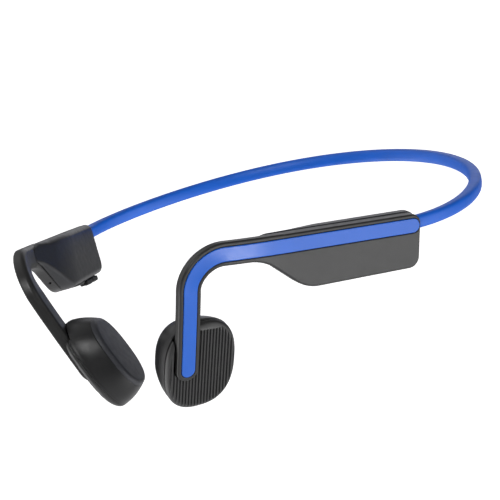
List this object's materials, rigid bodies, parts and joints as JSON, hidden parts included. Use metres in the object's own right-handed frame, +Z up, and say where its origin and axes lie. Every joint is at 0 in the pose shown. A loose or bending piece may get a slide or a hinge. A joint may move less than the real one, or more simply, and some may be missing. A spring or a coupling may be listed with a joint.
{
  "type": "bone conduction headphones",
  "caption": "Open-ear bone conduction headphones: two ear-hook arms with ribbed transducers, slim electronics pods and a flexible blue neckband.",
  "frame": {"origin": "centre of the bounding box at rest, midway between the two arms", "axes": "+X to the wearer's left, +Y to the back of the head where the neckband passes, +Z up; the neckband lies level and the pods pitch up towards the front"},
  "size_m": [0.127, 0.1296, 0.0452],
  "materials": {
    "neckband_silicone": "satin silicone over a memory-wire core",
    "frame_plastic": "fine matte moulded plastic",
    "cover_plastic": "smooth satin moulded plastic",
    "housing_plastic": "smooth satin moulded plastic",
    "ribbed_plastic": "matte with straight raised ribs",
    "blue_inlay": "satin coloured strip",
    "pad_silicone": "soft satin silicone",
    "seal_rubber": "matte soft rubber",
    "button_rubber": "matte soft rubber",
    "cable_sheath": "smooth insulated wire",
    "spring_metal": "drawn springy wire",
    "stamped_steel": "stamped sheet and turned steel",
    "switch_metal": "tinned metal shells",
    "magnet": "nickel plated",
    "copper_wire": "enamelled winding",
    "circuit_board": "solder mask",
    "cell_foil": "foil pouch",
    "foam": "closed-cell foam",
    "clear_lens": "frosted clear plastic"
  },
  "bodies": {
    "neckband": {"neckband_center": "neckband_silicone", "memory_wire_center": "spring_metal", "link_cable_center": "cable_sheath"},
    "left_arm": {"neckband_left": "neckband_silicone", "memory_wire_left": "spring_metal", "link_cable_left": "cable_sheath", "left_frame": "frame_plastic", "left_inner_cover": "cover_plastic", "left_pod_seal": "seal_rubber", "left_inlay": "blue_inlay", "left_hook_wire": "spring_metal", "left_driver_lead": "cable_sheath", "left_battery": "cell_foil", "left_battery_board": "circuit_board", "left_battery_pad": "foam", "left_driver_housing": "housing_plastic", "left_contact_pad": "pad_silicone", "left_driver_bracket": "stamped_steel", "left_voice_coil": "copper_wire", "left_leaf_spring": "stamped_steel", "multifunction_switch": "switch_metal"},
    "right_arm": {"neckband_right": "neckband_silicone", "memory_wire_right": "spring_metal", "link_cable_right": "cable_sheath", "right_frame": "frame_plastic", "right_inner_cover": "cover_plastic", "right_pod_seal": "seal_rubber", "right_inlay": "blue_inlay", "right_hook_wire": "spring_metal", "right_driver_lead": "cable_sheath", "main_board": "circuit_board", "bluetooth_module": "switch_metal", "usb_receptacle": "switch_metal", "volume_switches": "switch_metal", "microphone": "switch_metal", "led_lens": "clear_lens", "right_driver_housing": "housing_plastic", "right_contact_pad": "pad_silicone", "right_driver_bracket": "stamped_steel", "right_voice_coil": "copper_wire", "right_leaf_spring": "stamped_steel", "right_driver_cover": "ribbed_plastic"},
    "multifunction_button": {"multifunction_button": "ribbed_plastic"},
    "left_driver_magnets": {"left_driver_yoke": "stamped_steel", "left_driver_magnet": "magnet", "left_pole_plate": "stamped_steel"},
    "right_driver_magnets": {"right_driver_yoke": "stamped_steel", "right_driver_magnet": "magnet", "right_pole_plate": "stamped_steel"},
    "volume_up": {"volume_up": "button_rubber"},
    "volume_down": {"volume_down": "button_rubber"},
    "port_cover": {"port_cover": "seal_rubber"}
  },
  "joints": [
    {"name": "left_flex", "type": "hinge", "parent": "neckband", "child": "left_arm", "pos_m": [0.04418, 0.04885, 0.00898], "axis": [0.1141, 0.0939, 0.989], "range_deg": [0, 30], "stiffness_Nm_per_rad": 0.25},
    {"name": "right_flex", "type": "hinge", "parent": "neckband", "child": "right_arm", "pos_m": [-0.04418, 0.04885, 0.00898], "axis": [0.1141, -0.0939, -0.989], "range_deg": [0, 30], "stiffness_Nm_per_rad": 0.25},
    {"name": "multifunction_press", "type": "slide", "parent": "left_arm", "child": "multifunction_button", "axis": [-0.7893, 0.443, 0.4251], "range_m": [0, 0.0004], "stiffness_N_per_m": 600, "springref_m": -0.0004},
    {"name": "volume_up_press", "type": "slide", "parent": "right_arm", "child": "volume_up", "axis": [-0.1653, 0.1084, 0.9803], "range_m": [0, 0.0003], "stiffness_N_per_m": 600, "springref_m": -0.0003},
    {"name": "volume_down_press", "type": "slide", "parent": "right_arm", "child": "volume_down", "axis": [-0.1653, 0.1084, 0.9803], "range_m": [0, 0.0003], "stiffness_N_per_m": 600, "springref_m": -0.0003},
    {"name": "port_cover_hinge", "type": "hinge", "parent": "right_arm", "child": "port_cover", "pos_m": [-0.04211, -0.03151, 0.003], "axis": [-0.8835, -0.4581, -0.0984], "range_deg": [0, 100], "stiffness_Nm_per_rad": 0.0015, "springref_deg": -11.46},
    {"name": "left_driver_stroke", "type": "slide", "parent": "left_arm", "child": "left_driver_magnets", "axis": [0.7893, -0.443, -0.4251], "range_m": [-0.00015, 0.00015], "stiffness_N_per_m": 500},
    {"name": "right_driver_stroke", "type": "slide", "parent": "right_arm", "child": "right_driver_magnets", "axis": [-0.7893, -0.443, -0.4251], "range_m": [-0.00015, 0.00015], "stiffness_N_per_m": 500}
  ]
}
